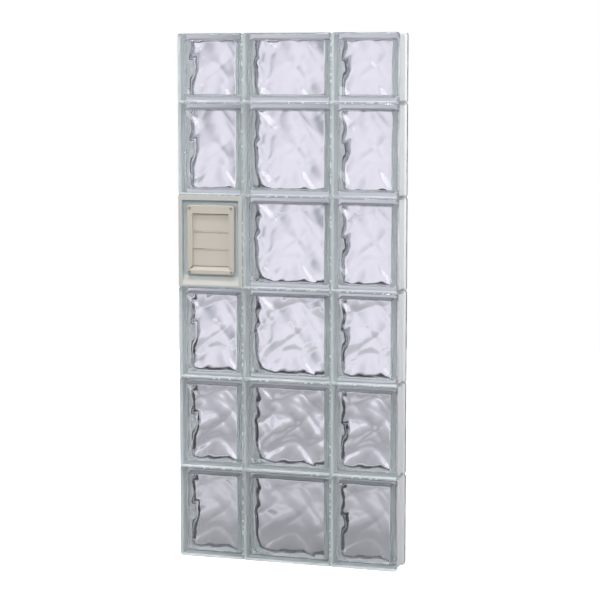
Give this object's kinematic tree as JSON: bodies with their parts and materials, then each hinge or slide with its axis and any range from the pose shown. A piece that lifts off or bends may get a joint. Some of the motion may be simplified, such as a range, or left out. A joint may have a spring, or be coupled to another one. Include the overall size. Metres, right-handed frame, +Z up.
{
  "type": "glass block window",
  "caption": "Tall panel of hollow wave-pattern glass blocks joined with clear sealant, with a louvred duct vent unit in place of one block.",
  "frame": {"origin": "middle of the panel's bottom, on the floor, half way between the weather face and the room face", "axes": "+Z up the panel, +X to the right seen from the weather side, and the weather side faces -Y"},
  "size_m": [0.488, 0.0794, 1.1293],
  "materials": {
    "glass": "pressed, fire-polished",
    "sealant": "clear silicone, tooled",
    "housing": "moulded, satin",
    "hood": "moulded, fine texture",
    "screws": "zinc plated"
  },
  "bodies": {
    "panel": {"glass_block_r1_c1": "glass", "glass_block_r1_c2": "glass", "glass_block_r1_c3": "glass", "glass_block_r2_c1": "glass", "glass_block_r2_c2": "glass", "glass_block_r2_c3": "glass", "glass_block_r3_c2": "glass", "glass_block_r3_c3": "glass", "glass_block_r4_c1": "glass", "glass_block_r4_c2": "glass", "glass_block_r4_c3": "glass", "glass_block_r5_c1": "glass", "glass_block_r5_c2": "glass", "glass_block_r5_c3": "glass", "glass_block_r6_c1": "glass", "glass_block_r6_c2": "glass", "glass_block_r6_c3": "glass", "front_sealant": "sealant", "back_sealant": "sealant", "vent_housing": "housing", "vent_hood": "hood", "screw_top_left": "screws", "screw_top_right": "screws", "screw_bottom_left": "screws", "screw_bottom_right": "screws"},
    "louvre_top": {"louvre_top": "hood"},
    "louvre_middle": {"louvre_middle": "hood"},
    "louvre_bottom": {"louvre_bottom": "hood"}
  },
  "joints": [
    {"name": "louvre_top_hinge", "type": "hinge", "parent": "panel", "child": "louvre_top", "pos_m": [-0.17145, -0.03169, 0.7453], "axis": [-1, 0, 0], "range_deg": [0, 75]},
    {"name": "louvre_middle_hinge", "type": "hinge", "parent": "panel", "child": "louvre_middle", "pos_m": [-0.17145, -0.03169, 0.70788], "axis": [-1, 0, 0], "range_deg": [0, 75]},
    {"name": "louvre_bottom_hinge", "type": "hinge", "parent": "panel", "child": "louvre_bottom", "pos_m": [-0.17145, -0.03169, 0.67047], "axis": [-1, 0, 0], "range_deg": [0, 75]}
  ]
}
